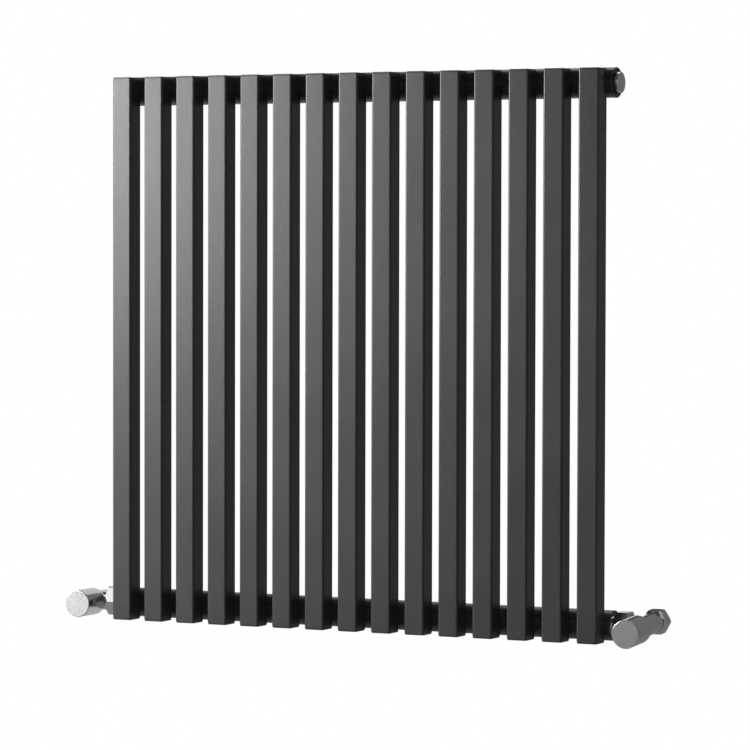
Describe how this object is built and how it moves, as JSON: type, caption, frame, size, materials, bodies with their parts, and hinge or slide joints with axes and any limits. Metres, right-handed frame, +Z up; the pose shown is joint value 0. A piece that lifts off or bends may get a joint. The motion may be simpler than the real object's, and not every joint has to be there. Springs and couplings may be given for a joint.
{
  "type": "column radiator with valves",
  "caption": "Wall-hung radiator of square steel columns on two round headers, with a chrome hand valve at each bottom end, a blanking plug and an air vent.",
  "frame": {"origin": "middle of the four wall fixing holes, on the wall face", "axes": "+X to the right seen from the room, +Y towards the wall, +Z up"},
  "size_m": [0.688, 0.1089, 0.6029],
  "materials": {
    "anthracite_paint": "satin",
    "chrome_plate": "polished",
    "bare_brass": "machined",
    "zinc_plate": "zinc plated",
    "seal_rubber": "matt",
    "insert_plastic": "moulded"
  },
  "bodies": {
    "radiator": {"column_01": "anthracite_paint", "column_02": "anthracite_paint", "column_03": "anthracite_paint", "column_04": "anthracite_paint", "column_05": "anthracite_paint", "column_06": "anthracite_paint", "column_07": "anthracite_paint", "column_08": "anthracite_paint", "column_09": "anthracite_paint", "column_10": "anthracite_paint", "column_11": "anthracite_paint", "column_12": "anthracite_paint", "column_13": "anthracite_paint", "column_14": "anthracite_paint", "column_15": "anthracite_paint", "column_top_caps": "anthracite_paint", "column_bottom_caps": "anthracite_paint", "top_header": "anthracite_paint", "bottom_header": "anthracite_paint", "top_left_boss": "anthracite_paint", "top_right_boss": "anthracite_paint", "bottom_left_boss": "anthracite_paint", "bottom_right_boss": "anthracite_paint", "hanging_studs": "anthracite_paint", "top_left_wall_socket": "zinc_plate", "top_right_wall_socket": "zinc_plate", "bottom_left_wall_socket": "zinc_plate", "bottom_right_wall_socket": "zinc_plate", "socket_grub_screws": "zinc_plate", "blank_plug_o_ring": "seal_rubber", "vent_plug_o_ring": "seal_rubber", "blank_plug": "chrome_plate", "vent_plug": "chrome_plate", "left_tail": "chrome_plate", "left_union_gasket": "seal_rubber", "left_union_nut": "chrome_plate", "left_valve_body": "chrome_plate", "left_compression_nut": "chrome_plate", "left_olive": "bare_brass", "left_bonnet": "bare_brass", "left_spindle_o_rings": "seal_rubber", "right_tail": "chrome_plate", "right_union_gasket": "seal_rubber", "right_union_nut": "chrome_plate", "right_valve_body": "chrome_plate", "right_compression_nut": "chrome_plate", "right_olive": "bare_brass", "right_bonnet": "bare_brass", "right_spindle_o_rings": "seal_rubber"},
    "left_handle": {"left_handle": "chrome_plate", "left_handle_insert": "insert_plastic", "left_spindle": "bare_brass"},
    "left_plug": {"left_plug_carrier": "bare_brass", "left_plug_washer": "seal_rubber"},
    "right_handle": {"right_handle": "chrome_plate", "right_handle_insert": "insert_plastic", "right_spindle": "bare_brass"},
    "right_plug": {"right_plug_carrier": "bare_brass", "right_plug_washer": "seal_rubber"},
    "bleed_screw": {"bleed_screw": "bare_brass"}
  },
  "joints": [
    {"name": "left_handle_turn", "type": "hinge", "parent": "radiator", "child": "left_handle", "pos_m": [-0.329, -0.0575, -0.28425], "axis": [0, 1, 0], "range_deg": [-450, 450]},
    {"name": "left_plug_lift", "type": "slide", "parent": "radiator", "child": "left_plug", "axis": [0, 1, 0], "range_m": [-0.00201, 0.00201]},
    {"name": "right_handle_turn", "type": "hinge", "parent": "radiator", "child": "right_handle", "pos_m": [0.329, -0.0575, -0.28425], "axis": [0, 0.9976, 0.0698], "range_deg": [-450, 450]},
    {"name": "right_plug_lift", "type": "slide", "parent": "radiator", "child": "right_plug", "axis": [0, 0.9976, 0.0698], "range_m": [-0.00201, 0.00201]},
    {"name": "bleed_screw_turn", "type": "hinge", "parent": "radiator", "child": "bleed_screw", "pos_m": [-0.2965, -0.0575, 0.28425], "axis": [-1, 0, 0], "range_deg": [0, 360]}
  ],
  "couplings": [
    {"joint": "left_plug_lift", "follows": "left_handle_turn", "m_per_rad": 0.00025465},
    {"joint": "right_plug_lift", "follows": "right_handle_turn", "m_per_rad": 0.00025465}
  ]
}
